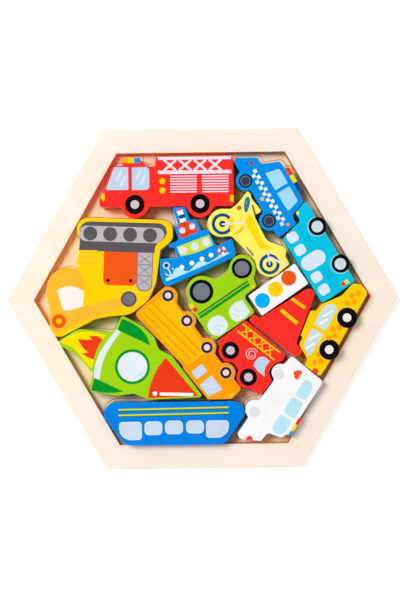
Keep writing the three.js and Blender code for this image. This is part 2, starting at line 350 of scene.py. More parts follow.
TOLERANCE = 0.02        # millimetres between two levels of a solid
MERGE = 1e-6            # metres within which two corners of a solid are one
SHORT_EDGE = 6.0        # millimetres: a longer edge is straight, a shorter one may be part of an arc
SMOOTH_TURN = 24.0      # degrees: a sharper turn than this is a corner
STRAIGHT_TURN = 2.0     # degrees: an arc that turns less than this isn't divided
ARC_PIECES = 3          # pieces that each short edge of an arc is divided into
LEAST_SPREAD = 0.35     # keeps the offset of a sharp corner from shooting out
TURNED_BACK = 1e-6      # two normals whose sum is shorter than this are opposite


def levels_of(node):
    """The heights of a solid at its two caps and at the ends of its walls, lowest first."""
    heights = sorted(v.co.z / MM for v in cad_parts[node].data.vertices)
    levels = heights[:1]
    for z in heights:
        if z - levels[-1] > TOLERANCE:
            levels.append(z)
    return levels


def outlines_of(node):
    """The wall loops of a solid, in millimetres: the outside one first."""
    wall_top = levels_of(node)[-2]
    merged = bmesh.new()
    merged.from_mesh(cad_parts[node].data)
    bmesh.ops.remove_doubles(merged, verts=merged.verts, dist=MERGE)
    following = {}
    for edge in merged.edges:
        if all(abs(v.co.z / MM - wall_top) < TOLERANCE for v in edge.verts):
            first, second = edge.verts
            following.setdefault(first.index, []).append(second.index)
            following.setdefault(second.index, []).append(first.index)
    places = {v.index: (v.co.x / MM, v.co.y / MM) for v in merged.verts}
    merged.free()
    loops, seen = [], set()
    for start in sorted(following):
        loop, here = [], start
        while here not in seen:
            seen.add(here)
            loop.append(places[here])
            here = next((n for n in following[here] if n not in seen), here)
        if loop:
            loops.append(anticlockwise(loop))
    if not loops:
        raise RuntimeError(f"{node} has no wall loop to follow")
    return sorted(loops, key=signed_area, reverse=True)


def smoothed(loop):
    """The loop with the flats of its arcs divided, so that a rounding looks round."""
    count = len(loop)
    points = [Vector(p) for p in loop]
    along = [points[(i + 1) % count] - points[i] for i in range(count)]

    def tangent(i, edge):
        before, after = along[i - 1], along[i % count]
        if before.angle(after) > math.radians(SMOOTH_TURN):
            return along[edge].normalized()
        for side in (before, after):
            if side.length > SHORT_EDGE:
                return side.normalized()
        return (before.normalized() + after.normalized()).normalized()

    out = []
    for i in range(count):
        out.append(loop[i])
        if along[i].length > SHORT_EDGE:
            continue
        first, last = tangent(i, i), tangent((i + 1) % count, i)
        if first.angle(last) < math.radians(STRAIGHT_TURN):
            continue
        a, b, reach = points[i], points[(i + 1) % count], along[i].length
        for k in range(1, ARC_PIECES):
            t = k / ARC_PIECES
            p = (a * (1 + 2 * t) * (1 - t) ** 2 + first * reach * t * (1 - t) ** 2
                 + b * t * t * (3 - 2 * t) + last * reach * t * t * (t - 1))
            out.append(tuple(p))
    return out


def offset(loop, distance):
    """The loop moved to its left, which is inwards for an anticlockwise one."""
    out = []
    for i, point in enumerate(loop):
        before = (Vector(point) - Vector(loop[i - 1])).normalized()
        after = (Vector(loop[(i + 1) % len(loop)]) - Vector(point)).normalized()
        normal = before.orthogonal() + after.orthogonal()
        if normal.length < TURNED_BACK:
            raise RuntimeError("an outline turns back on itself")
        normal.normalize()
        spread = max(LEAST_SPREAD, normal.dot(before.orthogonal()))
        out.append(tuple(Vector(point) + normal * (distance / spread)))
    return out


# Boards with a rounded arris.

ARRIS_STEPS = 4         # strips across a rounded arris
HOLDING_EDGE = 0.5      # millimetres from an arris to the loop that keeps the wall flat
SHARP_TURN = 32.0       # degrees above which an edge of the wall is shaded as a corner
NEAR = 1e-4             # millimetres within which two points of a print are one
INSIDE_ONLY = 1         # the triangulation's option that leaves out what lies outside every shape


def placed(name, mesh):
    piece = bpy.data.objects.new(name, mesh)
    bpy.context.scene.collection.objects.link(piece)
    return piece


def mesh_of(name, made):
    """What was built, as mesh data."""
    mesh = bpy.data.meshes.new(name)
    made.to_mesh(mesh)
    made.free()
    return mesh


def nearest_edge(loops, point):
    """(loop, edge, share of the edge) of the place on the loops that is nearest to point."""
    best = None
    for n, loop in enumerate(loops):
        for i, a in enumerate(loop):
            a, b = Vector(a), Vector(loop[(i + 1) % len(loop)])
            share = max(0.0, min(1.0, (point - a).dot(b - a) / (b - a).length_squared))
            gap = (a.lerp(b, share) - point).length
            if best is None or gap < best[0]:
                best = (gap, n, i, share)
    return best[1:]


def divided_top(loops, prints):
    """The top inside the loops, cut along the prints.

    Gives its points, its triangles with their print, the chains of points along its edges, and
    the print beside each edge. The last print that covers a place counts there, from 1 on, and 0 is none.
    """
    points, faces = [], []
    for shape in [anticlockwise(p) for p in loops + prints]:
        faces.append(list(range(len(points), len(points) + len(shape))))
        points += [Vector(p) for p in shape]
    holes = set(range(1, len(loops)))
    verts, _, cells, _, _, sources = delaunay_2d_cdt(points, [], faces, INSIDE_ONLY, NEAR, True)
    triangles, beside = [], {}
    for cell, source in zip(cells, sources):
        if 0 in source and not holes & set(source):
            number = max(0, max(source) - len(loops) + 1)
            triangles.append((list(cell), number))
            for a, b in zip(cell, cell[1:] + cell[:1]):
                beside[a, b] = number
    following = {}
    for a, b in beside:
        if (b, a) not in beside:
            if a in following:
                raise RuntimeError("the edge of a top touches itself")
            following[a] = b
    chains = []
    while following:
        start = here = next(iter(following))
        chain = []
        while here in following:
            chain.append(here)
            here = following.pop(here)
        if here != start:
            raise RuntimeError("the edge of a top isn't closed")
        chains.append(chain)
    return verts, triangles, chains, beside


def edge_rings(base, top, arris):
    """(inset, height) of the rings round a board's edge, from its top down to its underside."""
    turns = [math.radians(90 * k / ARRIS_STEPS) for k in range(ARRIS_STEPS + 1)]
    upper = [(arris * (1 - math.cos(t)), top - arris + arris * math.sin(t)) for t in reversed(turns)]
    lower = [(arris * (1 - math.cos(t)), base + arris - arris * math.sin(t)) for t in turns]
    return upper + [(0.0, top - arris - HOLDING_EDGE), (0.0, base + arris + HOLDING_EDGE)] + lower


def close_below(made, loops, material):
    """Closes a board below, between the loops of its underside."""
    edges = [made.edges.get(ends) for loop in loops for ends in zip(loop, loop[1:] + loop[:1])]
    for item in bmesh.ops.triangle_fill(made, edges=edges, normal=(0.0, 0.0, -1.0))["geom"]:
        if isinstance(item, bmesh.types.BMFace):
            item.material_index = material


def board(name, loops, levels, skins, layers=()):
    """A closed board with rounded arrises.

    loops are its wall outlines, the outside one first and holes after it. skins names the
    materials of its top, of each wall, of each upper arris where it isn't the top's, and of its
    underside. layers are (material, polygon) prints.
    """
    arris = levels[-1] - levels[-2]
    walls = [loops[0]] + [loop[::-1] for loop in loops[1:]]     # the board lies to the left
    rims = [offset(loop, arris) for loop in walls]
    verts, triangles, chains, beside = divided_top(rims, [shape for _, shape in layers])
    names = []

    def skin(material):
        if material not in names:
            names.append(material)
        return names.index(material)

    made = bmesh.new()
    wear = made.loops.layers.float.new("arris")
    cap = [made.verts.new((p.x, p.y, levels[-1])) for p in verts]
    for cell, number in triangles:
        face = made.faces.new([cap[i] for i in cell])
        face.material_index = skin(layers[number - 1][0] if number else skins["top"])
    rings_down = edge_rings(levels[0], levels[-1], arris)
    sharp, undersides = [], []
    for chain in chains:
        corners = [nearest_edge(rims, verts[v]) for v in chain]
        wall = corners[0][0]
        bare_arris = skins["arrises"][wall] if "arrises" in skins else skins["top"]
        above = [cap[v] for v in chain]
        sharp.append(above)
        for k, (inset, z) in enumerate(rings_down[1:], 1):
            moved = [offset(loop, inset) for loop in walls]
            below = []
            for loop, edge, share in corners:
                a, b = Vector(moved[loop][edge]), Vector(moved[loop][(edge + 1) % len(moved[loop])])
                below.append(made.verts.new((*a.lerp(b, share), z)))
            for i in range(len(chain)):
                j = (i + 1) % len(chain)
                face = made.faces.new((above[i], below[i], below[j], above[j]))
                number = beside[chain[i], chain[j]]
                on_arris = k <= ARRIS_STEPS
                top_skin = layers[number - 1][0] if number else bare_arris
                face.material_index = skin(top_skin if on_arris else skins["walls"][wall])
                if on_arris or k >= len(rings_down) - ARRIS_STEPS:
                    for corner in face.loops:
                        corner[wear] = 1.0
            above = below
        sharp.append(above)
        undersides.append(above)
    close_below(made, undersides, skin(skins["under"]))
    rim_edges = {made.edges.get(ends) for loop in sharp for ends in zip(loop, loop[1:] + loop[:1])}
    bmesh.ops.delete(made, geom=[v for v in made.verts if not v.link_faces], context="VERTS")
    bmesh.ops.scale(made, vec=(MM, MM, MM), verts=made.verts)
    made.edges.index_update()
    sharp_numbers = [edge.index for edge in rim_edges]
    mesh = mesh_of(name, made)
    for material in names:
        mesh.materials.append(bpy.data.materials[material])
    mesh.shade_smooth()
    mesh.set_sharp_from_angle(angle=math.radians(SHARP_TURN))
    marks = mesh.attributes.get("sharp_edge") or mesh.attributes.new("sharp_edge", "BOOLEAN", "EDGE")
    for number in sharp_numbers:
        marks.data[number].value = True
    return placed(name, mesh)


# Node trees.

# A Mix node has an A, a B and a result for each kind of value. These are the colour ones.
COLOUR_A, COLOUR_B, COLOUR_RESULT = 6, 7, 2


class Wiring:
    """Short ways to add the nodes that the trees below share."""

    def __init__(self, tree):
        self.nodes = tree.nodes
        self.link = tree.links.new

    def put(self, socket, value):
        if isinstance(value, bpy.types.NodeSocket):
            self.link(value, socket)
        else:
            socket.default_value = value

    def add(self, kind, inputs, result=0, **settings):
        """A new node's result, with its settings made and its inputs linked or set."""
        node = self.nodes.new(kind)
        for label, value in settings.items():
            setattr(node, label, value)
        for label, value in inputs.items():
            self.put(node.inputs[label], value)
        return node.outputs[result]

    def noise(self, where, scale=1.0, detail=2.0, distortion=0.0, stretch=None):
        if stretch:
            where = self.add("ShaderNodeMapping", {"Vector": where, "Scale": stretch})
        return self.add("ShaderNodeTexNoise", {
            "Vector": where, "Scale": scale, "Detail": detail, "Distortion": distortion}, "Fac")

    def spread(self, value, to_low, to_high, low=0.3, high=0.7):
        """The value's range from low to high, which suits most noise, made to_low to to_high."""
        return self.add("ShaderNodeMapRange", {
            "Value": value, "From Min": low, "From Max": high, "To Min": to_low, "To Max": to_high})

    def maths(self, operation, a, b=0.0):
        return self.add("ShaderNodeMath", {0: a, 1: b}, operation=operation)

    def plus(self, a, b):
        return self.maths("ADD", a, b)

    def minus(self, a, b):
        return self.maths("SUBTRACT", a, b)

    def times(self, a, b):
        return self.maths("MULTIPLY", a, b)

    def mix(self, share, a, b, blend="MIX"):
        return self.add("ShaderNodeMix", {"Factor": share, COLOUR_A: a, COLOUR_B: b}, COLOUR_RESULT,
                        data_type="RGBA", blend_type=blend)


def new_tree(name, kind, inputs, outputs):
    """A node tree with named inputs and outputs: (tree, its wiring, what it is given, what it gives)."""
    tree = bpy.data.node_groups.new(name, kind)
    for direction, sockets in (("INPUT", inputs), ("OUTPUT", outputs)):
        for label, socket in sockets.items():
            tree.interface.new_socket(label, in_out=direction, socket_type="NodeSocket" + socket)
    w = Wiring(tree)
    return tree, w, w.nodes.new("NodeGroupInput").outputs, w.nodes.new("NodeGroupOutput").inputs


# Repeated prints and burnt lines.


def geometry_tree(name, **inputs):
    return new_tree(name, "GeometryNodeTree", {"Geometry": "Geometry", **inputs}, {"Geometry": "Geometry"})


def end_in_material(w, geometry, material, result):
    solid = w.add("GeometryNodeRealizeInstances", {"Geometry": geometry})
    w.put(result["Geometry"], w.add("GeometryNodeSetMaterial", {"Geometry": solid, "Material": material}))


def print_row_tree():
    """Sets a shape down in a row, and the row again beside itself."""
    if "print_row" in bpy.data.node_groups:
        return bpy.data.node_groups["print_row"]
    tree, w, given, result = geometry_tree(
        "print_row", Start="Vector", Count="Int", Step="Vector", Rows="Int", Shift="Vector", Ink="Material")
    row = w.add("GeometryNodeMeshLine", {
        "Start Location": given["Start"], "Count": given["Count"], "Offset": given["Step"]}, mode="OFFSET")
    column = w.add("GeometryNodeMeshLine", {"Count": given["Rows"], "Offset": given["Shift"]}, mode="OFFSET")
    rows = w.add("GeometryNodeInstanceOnPoints", {"Points": row, "Instance": column})
    spots = w.add("GeometryNodeRealizeInstances", {"Geometry": rows})
    shapes = w.add("GeometryNodeInstanceOnPoints", {"Points": spots, "Instance": given["Geometry"]})
    end_in_material(w, shapes, given["Ink"], result)
    return tree


def burnt_line_tree():
    """Runs a flat crust along the edges it is given."""
    tree, w, given, result = geometry_tree("burnt_line", Width="Float", Height="Float", Burn="Material")
    path = w.add("GeometryNodeMeshToCurve", {"Mesh": given["Geometry"]})
    section = w.add("GeometryNodeCurvePrimitiveQuadrilateral", {
        "Width": given["Width"], "Height": given["Height"]})
    swept = w.add("GeometryNodeCurveToMesh", {"Curve": path, "Profile Curve": section})
    end_in_material(w, swept, given["Burn"], result)
    return tree


def grown(name, mesh, tree, **values):
    """A plain mesh piece, made by a geometry tree from mesh and the values of its inputs."""
    piece = placed(name, mesh)
    modifier = piece.modifiers.new(tree.name, "NODES")
    modifier.node_group = tree
    sockets = {item.name: item.identifier for item in tree.interface.items_tree
               if item.item_type == "SOCKET" and item.in_out == "INPUT"}
    for label, value in values.items():
        modifier[sockets[label]] = value
    graph = bpy.context.evaluated_depsgraph_get()
    finished = bpy.data.meshes.new_from_object(piece.evaluated_get(graph))
    piece.modifiers.clear()
    piece.data = finished
    finished.name = name
    if not finished.polygons:
        raise RuntimeError(f"{name} came out empty")
    return piece


def ink_film(name, shape, z, sizes):
    """A thin closed film of ink in the given shape, just standing out of the paint at height z."""
    made = bmesh.new()
    low, high = z - sizes.ink_depth / MM, z + sizes.ink_height / MM
    under = [made.verts.new((x * MM, y * MM, low * MM)) for x, y in shape]
    over = [made.verts.new((x * MM, y * MM, high * MM)) for x, y in shape]
    made.faces.new(over)
    made.faces.new(under[::-1])
    for i in range(len(shape)):
        j = (i + 1) % len(shape)
        made.faces.new((under[i], under[j], over[j], over[i]))
    made.normal_update()
    bmesh.ops.triangulate(made, faces=[f for f in made.faces if len(f.verts) > 4])
    return mesh_of(name, made)


def printed_row(block, what, ink, shape, start, step, count, shift=(0, 0), rows=1):
    """A row of one printed shape on a block, or rows of it a shift apart, riding on the block."""
    name = f"{block}_{what}"
    turn = PLACES[block][2]
    top = levels_of(block + "_block")[-1]
    film = ink_film(name, anticlockwise(turned(shape, turn)), top, bpy.context.scene.puzzle_sizes)
    (x, y), = laid_down(block, [start])
    (dx, dy), (ex, ey) = turned([step, shift], turn)
    piece = grown(
        name, film, print_row_tree(), Start=(x * MM, y * MM, 0.0), Count=count,
        Step=(dx * MM, dy * MM, 0.0), Rows=rows, Shift=(ex * MM, ey * MM, 0.0),
        Ink=bpy.data.materials[ink])
    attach(piece, block)


# Materials.

BUMP_DEPTH = 0.15       # millimetres
GLUE_START = 0.44       # how far from the middle of a ply its glue line starts, as a share of the ply
WOODS = ("rim_wood", "floor_wood", "burnt_wood")


def linear(colour):
    """A display colour, in sRGB, as the light it stands for."""
    return tuple(c / 12.92 if c <= 0.04045 else ((c + 0.055) / 1.055) ** 2.4 for c in colour) + (1.0,)


def tinted(colour, red, green=None, blue=None):
    """The colour times a factor, or times a factor for each of its channels."""
    return (colour[0] * red, colour[1] * (green or red), colour[2] * (blue or red), 1.0)


def finish_tree(name, **inputs):
    return new_tree(name, "ShaderNodeTree", {"Where": "Vector", **inputs},
                    {"Colour": "Color", "Roughness": "Float", "Height": "Float"})


def paint_finish():
    """Brushed paint on birch: cloudy tone, grain telegraphing through, thin paint along the arris."""
    tree, w, given, result = finish_tree("paint_finish", Paint="Color", Worn="Color", Arris="Float")
    where = given["Where"]
    cloud = w.noise(where, scale=70.0, detail=3.0)
    grain = w.noise(where, detail=4.0, distortion=0.6, stretch=(18.0, 320.0, 60.0))
    peel = w.noise(where, scale=1400.0, detail=1.0)
    chips = w.noise(where, scale=520.0, detail=3.0)
    tone = w.times(w.spread(cloud, 0.965, 1.025), w.spread(grain, 0.982, 1.012))
    shade = w.add("ShaderNodeCombineColor", {"Red": tone, "Green": tone, "Blue": tone})
    toned = w.mix(1.0, given["Paint"], shade, "MULTIPLY")
    thin = w.times(given["Arris"], w.spread(chips, 0.0, 0.06, low=0.46, high=0.72))
    w.put(result["Colour"], w.mix(thin, toned, given["Worn"]))
    w.put(result["Roughness"], w.plus(w.spread(cloud, 0.16, 0.21), w.spread(grain, -0.02, 0.02)))
    w.put(result["Height"], w.plus(w.times(grain, 0.6), w.times(peel, 0.4)))
    return tree


def wood_grain():
    """Rotary-cut birch: long soft figure, fine streaks and short pores, along x."""
    tree, w, given, result = finish_tree("wood_grain", Pale="Color", Dark="Color", Figure="Float")
    where = given["Where"]
    figure = w.noise(where, detail=3.0, distortion=1.4, stretch=(5.0, 26.0, 26.0))
    streak = w.noise(where, detail=3.0, distortion=0.3, stretch=(9.0, 420.0, 420.0))
    pores = w.noise(where, detail=1.0, stretch=(130.0, 2600.0, 2600.0))
    shade = w.plus(w.spread(figure, 0.0, 0.55, low=0.35), w.spread(streak, 0.0, 0.4, low=0.35))
    shade = w.plus(shade, w.spread(pores, 0.0, 0.35, low=0.6, high=0.75))
    share = w.times(shade, given["Figure"])
    w.put(result["Colour"], w.mix(share, given["Pale"], given["Dark"]))
    w.put(result["Roughness"], w.spread(shade, 0.5, 0.66, low=0.0, high=1.2))
    w.put(result["Height"], w.minus(w.times(streak, 0.6), w.spread(pores, 0.0, 0.5, low=0.6, high=0.75)))
    return tree


def ply_layers():
    """The edge of plywood: layers of long and end grain in turn, with a dark glue line between."""
    tree, w, given, result = finish_tree("ply_layers", Ply="Float", Pale="Color", Dark="Color")
    where = given["Where"]
    height = w.add("ShaderNodeSeparateXYZ", {"Vector": where}, "Z")
    waver = w.times(w.noise(where, scale=60.0), 0.35)
    count = w.plus(w.maths("DIVIDE", height, given["Ply"]), waver)
    odd = w.maths("GREATER_THAN", w.maths("FRACT", w.times(count, 0.5)), 0.5)
    from_middle = w.maths("ABSOLUTE", w.minus(w.maths("FRACT", count), 0.5))
    glue = w.maths("GREATER_THAN", from_middle, GLUE_START)
    fibre = w.noise(where, stretch=(260.0, 260.0, 1500.0))
    tone = w.plus(w.plus(w.times(odd, 0.4), w.times(glue, 0.35)), w.spread(fibre, 0.0, 0.25))
    w.put(result["Colour"], w.mix(tone, given["Pale"], given["Dark"]))
    w.put(result["Roughness"], w.spread(fibre, 0.6, 0.78))
    w.put(result["Height"], w.minus(fibre, w.times(glue, 0.5)))
    return tree


def finish(name, group, specular, bump, **values):
    """A material whose colour, roughness and bump come from one of the groups above."""
    material = bpy.data.materials.new(name)
    material.use_nodes = True
    w = Wiring(material.node_tree)
    shader = w.nodes["Principled BSDF"].inputs
    look = w.nodes.new("ShaderNodeGroup")
    look.node_tree = group
    values["Where"] = w.add("ShaderNodeTexCoord", {}, "Object")
    if "Arris" in look.inputs:
        values["Arris"] = w.add("ShaderNodeAttribute", {}, "Fac", attribute_name="arris")
    for label, value in values.items():
        w.put(look.inputs[label], value)
    w.put(shader["Base Color"], look.outputs["Colour"])
    w.put(shader["Roughness"], look.outputs["Roughness"])
    w.put(shader["Normal"], w.add("ShaderNodeBump", {
        "Strength": bump, "Distance": BUMP_DEPTH * MM, "Height": look.outputs["Height"]}))
    shader["Specular IOR Level"].default_value = specular


def mix_paints(colours, sizes):
    """One material for each paint of the palette, and the wood finishes."""
    painted, grained, layered = paint_finish(), wood_grain(), ply_layers()
    rim, floor, burnt = (linear(getattr(colours, wood)) for wood in WOODS)
    for name in PaintColours.__annotations__:
        if name not in WOODS:
            finish(name, painted, specular=0.22, bump=0.08,
                   Paint=linear(getattr(colours, name)), Worn=tinted(rim, 0.9))
    tan = tinted(floor, 0.82, 0.66, 0.5)
    finish("birch_face", grained, specular=0.3, bump=0.25,
           Pale=rim, Dark=tinted(rim, 0.86, 0.72, 0.56), Figure=0.24)
    finish("birch_floor", grained, specular=0.3, bump=0.3, Pale=floor, Dark=tan, Figure=0.5)
    finish("ply_edge", layered, specular=0.25, bump=0.4,
           Ply=sizes.ply, Pale=tinted(floor, 0.86), Dark=tinted(tan, 0.62))
    finish("burnt_edge", layered, specular=0.25, bump=0.4,
           Ply=sizes.ply, Pale=tinted(burnt, 4.2), Dark=tinted(burnt, 2.0))
    finish("burnt_line", grained, specular=0.2, bump=0.3,
           Pale=tinted(burnt, 2.3), Dark=tinted(burnt, 1.1), Figure=0.8)


# Pieces.

# How far a footprint lies off its block, in millimetres: these two blocks lie to one side of theirs.
FOOTPRINT_SLIDES = {"fire_engine": (0.0, 2.5), "police_car": (2.5, 2.0)}


def painted_block(block, body_paint, layers):
    """A block with its print: layers of (paint, shape, ...) in its upright frame, the lowest first."""
    node = block + "_block"
    outline = smoothed(outlines_of(node)[0])
    laid = [(ink, laid_down(block, shape)) for ink, *shapes in layers for shape in shapes]
    piece = board(block, [outline], levels_of(node),
                  {"top": body_paint, "walls": [body_paint], "under": "birch_face"}, laid)
    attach(piece, block)
    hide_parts(node)


def within(loop, point, margin):
    """The point, moved to at least margin inside a convex loop where it lies farther out."""
    place = Vector(point)
    for a, b in zip(loop, loop[1:] + loop[:1]):
        inward = (Vector(b) - Vector(a)).normalized().orthogonal()
        short = margin - (place - Vector(a)).dot(inward)
        if short > 0:
            place += inward * short
    return tuple(place)


class PuzzleOperator:
    """What the operators below share."""

    bl_options = {"REGISTER", "UNDO"}


class PUZZLE_OT_finishes(PuzzleOperator, bpy.types.Operator):
    """Mix the paints and the wood finishes"""

    bl_idname = "puzzle.finishes"
    bl_label = "Paints and woods"

    def execute(self, context):
        mix_paints(context.scene.puzzle_paints, context.scene.puzzle_sizes)
        return {"FINISHED"}


class PUZZLE_OT_tray(PuzzleOperator, bpy.types.Operator):
    """Make the tray's floor board and its rim, with laser-cut edges"""

    bl_idname = "puzzle.tray"
    bl_label = "Tray"

    def execute(self, context):
        outside = smoothed(outlines_of("tray_base")[0])
        floor = board("tray_floor", [outside], levels_of("tray_base"),
                      {"top": "birch_floor", "walls": ["ply_edge"], "under": "birch_face"})
        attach(floor, "tray")
        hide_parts("tray_base")
        loops = [smoothed(loop) for loop in outlines_of("tray_frame")]
        rim = board("tray_rim", loops, levels_of("tray_frame"),
                    {"top": "birch_face", "walls": ["ply_edge", "burnt_edge"], "under": "birch_face",
                     "arrises": ["birch_face", "burnt_line"]})
        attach(rim, "tray")
        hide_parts("tray_frame")
        return {"FINISHED"}


class PUZZLE_OT_footprints(PuzzleOperator, bpy.types.Operator):
    """Burn the outline of each block into the tray floor"""

    bl_idname = "puzzle.footprints"
    bl_label = "Burnt footprints"

    def execute(self, context):
        sizes = context.scene.puzzle_sizes
        floor = levels_of("tray_base")[-1]
        pocket = outlines_of("tray_frame")[1]
        lines = bmesh.new()
        for block in PLACES:
            dx, dy = FOOTPRINT_SLIDES.get(block, (0.0, 0.0))
            loop = offset(smoothed(outlines_of(block + "_block")[0]), -sizes.line_offset / MM)
            inside = [within(pocket, (x + dx, y + dy), sizes.line_width / MM) for x, y in loop]
            verts = [lines.verts.new((x * MM, y * MM, floor * MM)) for x, y in inside]
            for ends in zip(verts, verts[1:] + verts[:1]):
                lines.edges.new(ends)
        piece = grown("tray_footprints", mesh_of("footprints", lines), burnt_line_tree(),
                      Width=sizes.line_width, Height=2 * sizes.line_height,
                      Burn=bpy.data.materials["burnt_line"])
        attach(piece, "tray")
        return {"FINISHED"}


class PUZZLE_OT_fire_engine(PuzzleOperator, bpy.types.Operator):
    """Paint the fire engine, with its ladder, louvres, windows and light bar"""

    bl_idname = "puzzle.fire_engine"
    bl_label = "Fire engine"

    def execute(self, context):
        layers = light_bar(33.5, 42, (-37.0, -29.8, -24.8, -17.0), "orange", "yellow", "blue") + [
            ("glass", panel((-46.8, 13.2, 1.2), (-29.4, 13.2, 0.5), (-29.4, 30.4, 0.5), (-40, 30.5, 1.5)),
             panel((-26.7, 13, 0.5), (-13.5, 13, 3), (-13.5, 30.3, 3), (-26.7, 30.3, 0.5))),
            ("lilac", box(-6.8, 35.5, 48.7, 38.0), box(-6.8, 24.8, 48.7, 27.4)),
            ("yellow", disc(-3.7, 19.4, 2.3), disc(-3.7, 12.4, 2.3), disc(-48.6, 7.8, 1.4, 3.0),
             box(47.6, 3.3, 50.2, 8.2)),
            ("lilac", stroke(-38.3, 20.5, -34.9, 26.9, 1.5), stroke(-35, 16.6, -31.7, 23.4, 1.5),
             stroke(-23.1, 21.8, -20, 27.4, 1.5), stroke(-19.8, 17.6, -16.9, 23.6, 1.5)),
        ]
        layers += rings(-24.7, 2.0, black=7.4, rose=3.3) + rings(24.8, 2.0, black=7.4, rose=3.3)
        painted_block("fire_engine", "red", layers)
        printed_row("fire_engine", "ladder", "lilac", crossing(4.6, 4.0, 1.8),
                    start=(2.3, 31.45), step=(11.4, 0), count=4)
        printed_row("fire_engine", "louvres", "lilac", box(-10.05, -0.48, 10.05, 0.48),
                    start=(12.4, 11.1), step=(24.1, 0), count=2, shift=(0, 2.0), rows=7)
        return {"FINISHED"}


class PUZZLE_OT_police_car(PuzzleOperator, bpy.types.Operator):
    """Paint the police car, with its chequers, windows and light bar"""

    bl_idname = "puzzle.police_car"
    bl_label = "Police car"

    def execute(self, context):
        layers = [
            ("sky", panel((-15, 15.5, 0.6), (0, 15.5, 0.6), (0, 26.6, 0.6), (-12.6, 26.6, 1.5)),
             panel((2.7, 15.5, 0.6), (18.7, 16, 1), (15.5, 26.4, 1.5), (2.7, 26.4, 0.6))),
            ("yellow", star(0.6, 3.6, 2.2)), ("brick", box(-28.6, 9.5, -25.2, 11.3)),
            ("orange", disc(27.2, 10.9, 1.2)),
        ]
        layers += light_bar(30.2, 38, (-14.0, -4.0, 2.4, 14), "flame_red", "citron", "navy")
        for x in (-17.5, 17.5):
            layers += rings(x, -0.3, black=5.2, slate=4.1, dark_slate=3.1)
        painted_block("police_car", "blue", layers)
        printed_row("police_car", "chequers", "white", square(0, 0, 2.6),
                    start=(-17.6, 7.0), step=(5.26, 0), count=9, shift=(-2.7, 2.7), rows=2)
        return {"FINISHED"}


class PUZZLE_OT_tugboat(PuzzleOperator, bpy.types.Operator):
    """Paint the tugboat, with its funnel, cabin, waves, anchor and lifebuoy"""

    bl_idname = "puzzle.tugboat"
    bl_label = "Tugboat"

    def execute(self, context):
        painted_block("tugboat", "blue", [
            ("white", panel((1.4, 39.4), (6.1, 39.4), (6.7, 48.7), (2.2, 49.0))),
            ("red", panel((2.3, 48.7), (6.4, 48.4), (6.1, 49.7), (2.7, 50.0))),
            ("navy", panel((1.9, 42.7), (6.4, 41.9), (6.7, 44.9), (1.9, 45.5))),
            ("flame_red", panel((0.9, 39.5), (5.9, 39.5), (7.2, 37.7), (10.6, 36.1), (11.7, 28.4),
                                (-2.9, 28.3), (-1.5, 37.2))),
            ("mist", disc(0.6, 33.8, 2.3), disc(8.5, 33.7, 2.3)),
            ("yellow_green", panel((-8.4, 16.3), (3.9, 13.9, 40), (17.8, 14.7), (17.7, 23), (-8.2, 24))),
            ("mist", disc(-4.9, 19.8, 3.0), disc(4.7, 19.1, 3.0), disc(13.7, 18.7, 3.0)),
            ("aqua", panel((-25.6, 2.8), (9, 3), (26.9, 4.1), (26.6, 4.8), (24.4, 6.4, 1), (20.3, 6.2, 3),
                           (16.9, 4.9, 3), (12.8, 4.1, 3), (9, 3.8, 1.5), (6.3, 6.2, 2), (2.2, 7.4, 3),
                           (-1.4, 5.6, 3), (-6.1, 3.5, 2), (-9.4, 4.4, 2), (-10.9, 7.1, 2), (-13.8, 9.6, 2),
                           (-16.9, 8.5, 2), (-19.4, 5.6, 2), (-25.3, 5.1))),
            ("lilac", disc(-20.9, 14, 2.5)), ("navy", disc(-20.9, 14, 1.6)),
            ("lilac", stroke(-20.7, 12.2, -20.1, 5.9, 0.9),
             band([(-23.9, 9.0), (-23.5, 7.6), (-22.6, 6.6), (-21.1, 5.9), (-19.5, 6.1)], 0.8)),
            ("mist", disc(-17.2, 9.8, 0.7)),
            ("white", disc(22.4, 8.0, 3.2), *(disc(x, 8.2, 1.8) for x in (-10.6, -2.3, 5.9, 13.4))),
            ("flame_red", *(curved(22.4, 8.0, 2.3, start, start + 62, 1.8) for start in (57, 177, 297))),
            ("blue", disc(22.4, 8.0, 1.3)),
        ])
        return {"FINISHED"}


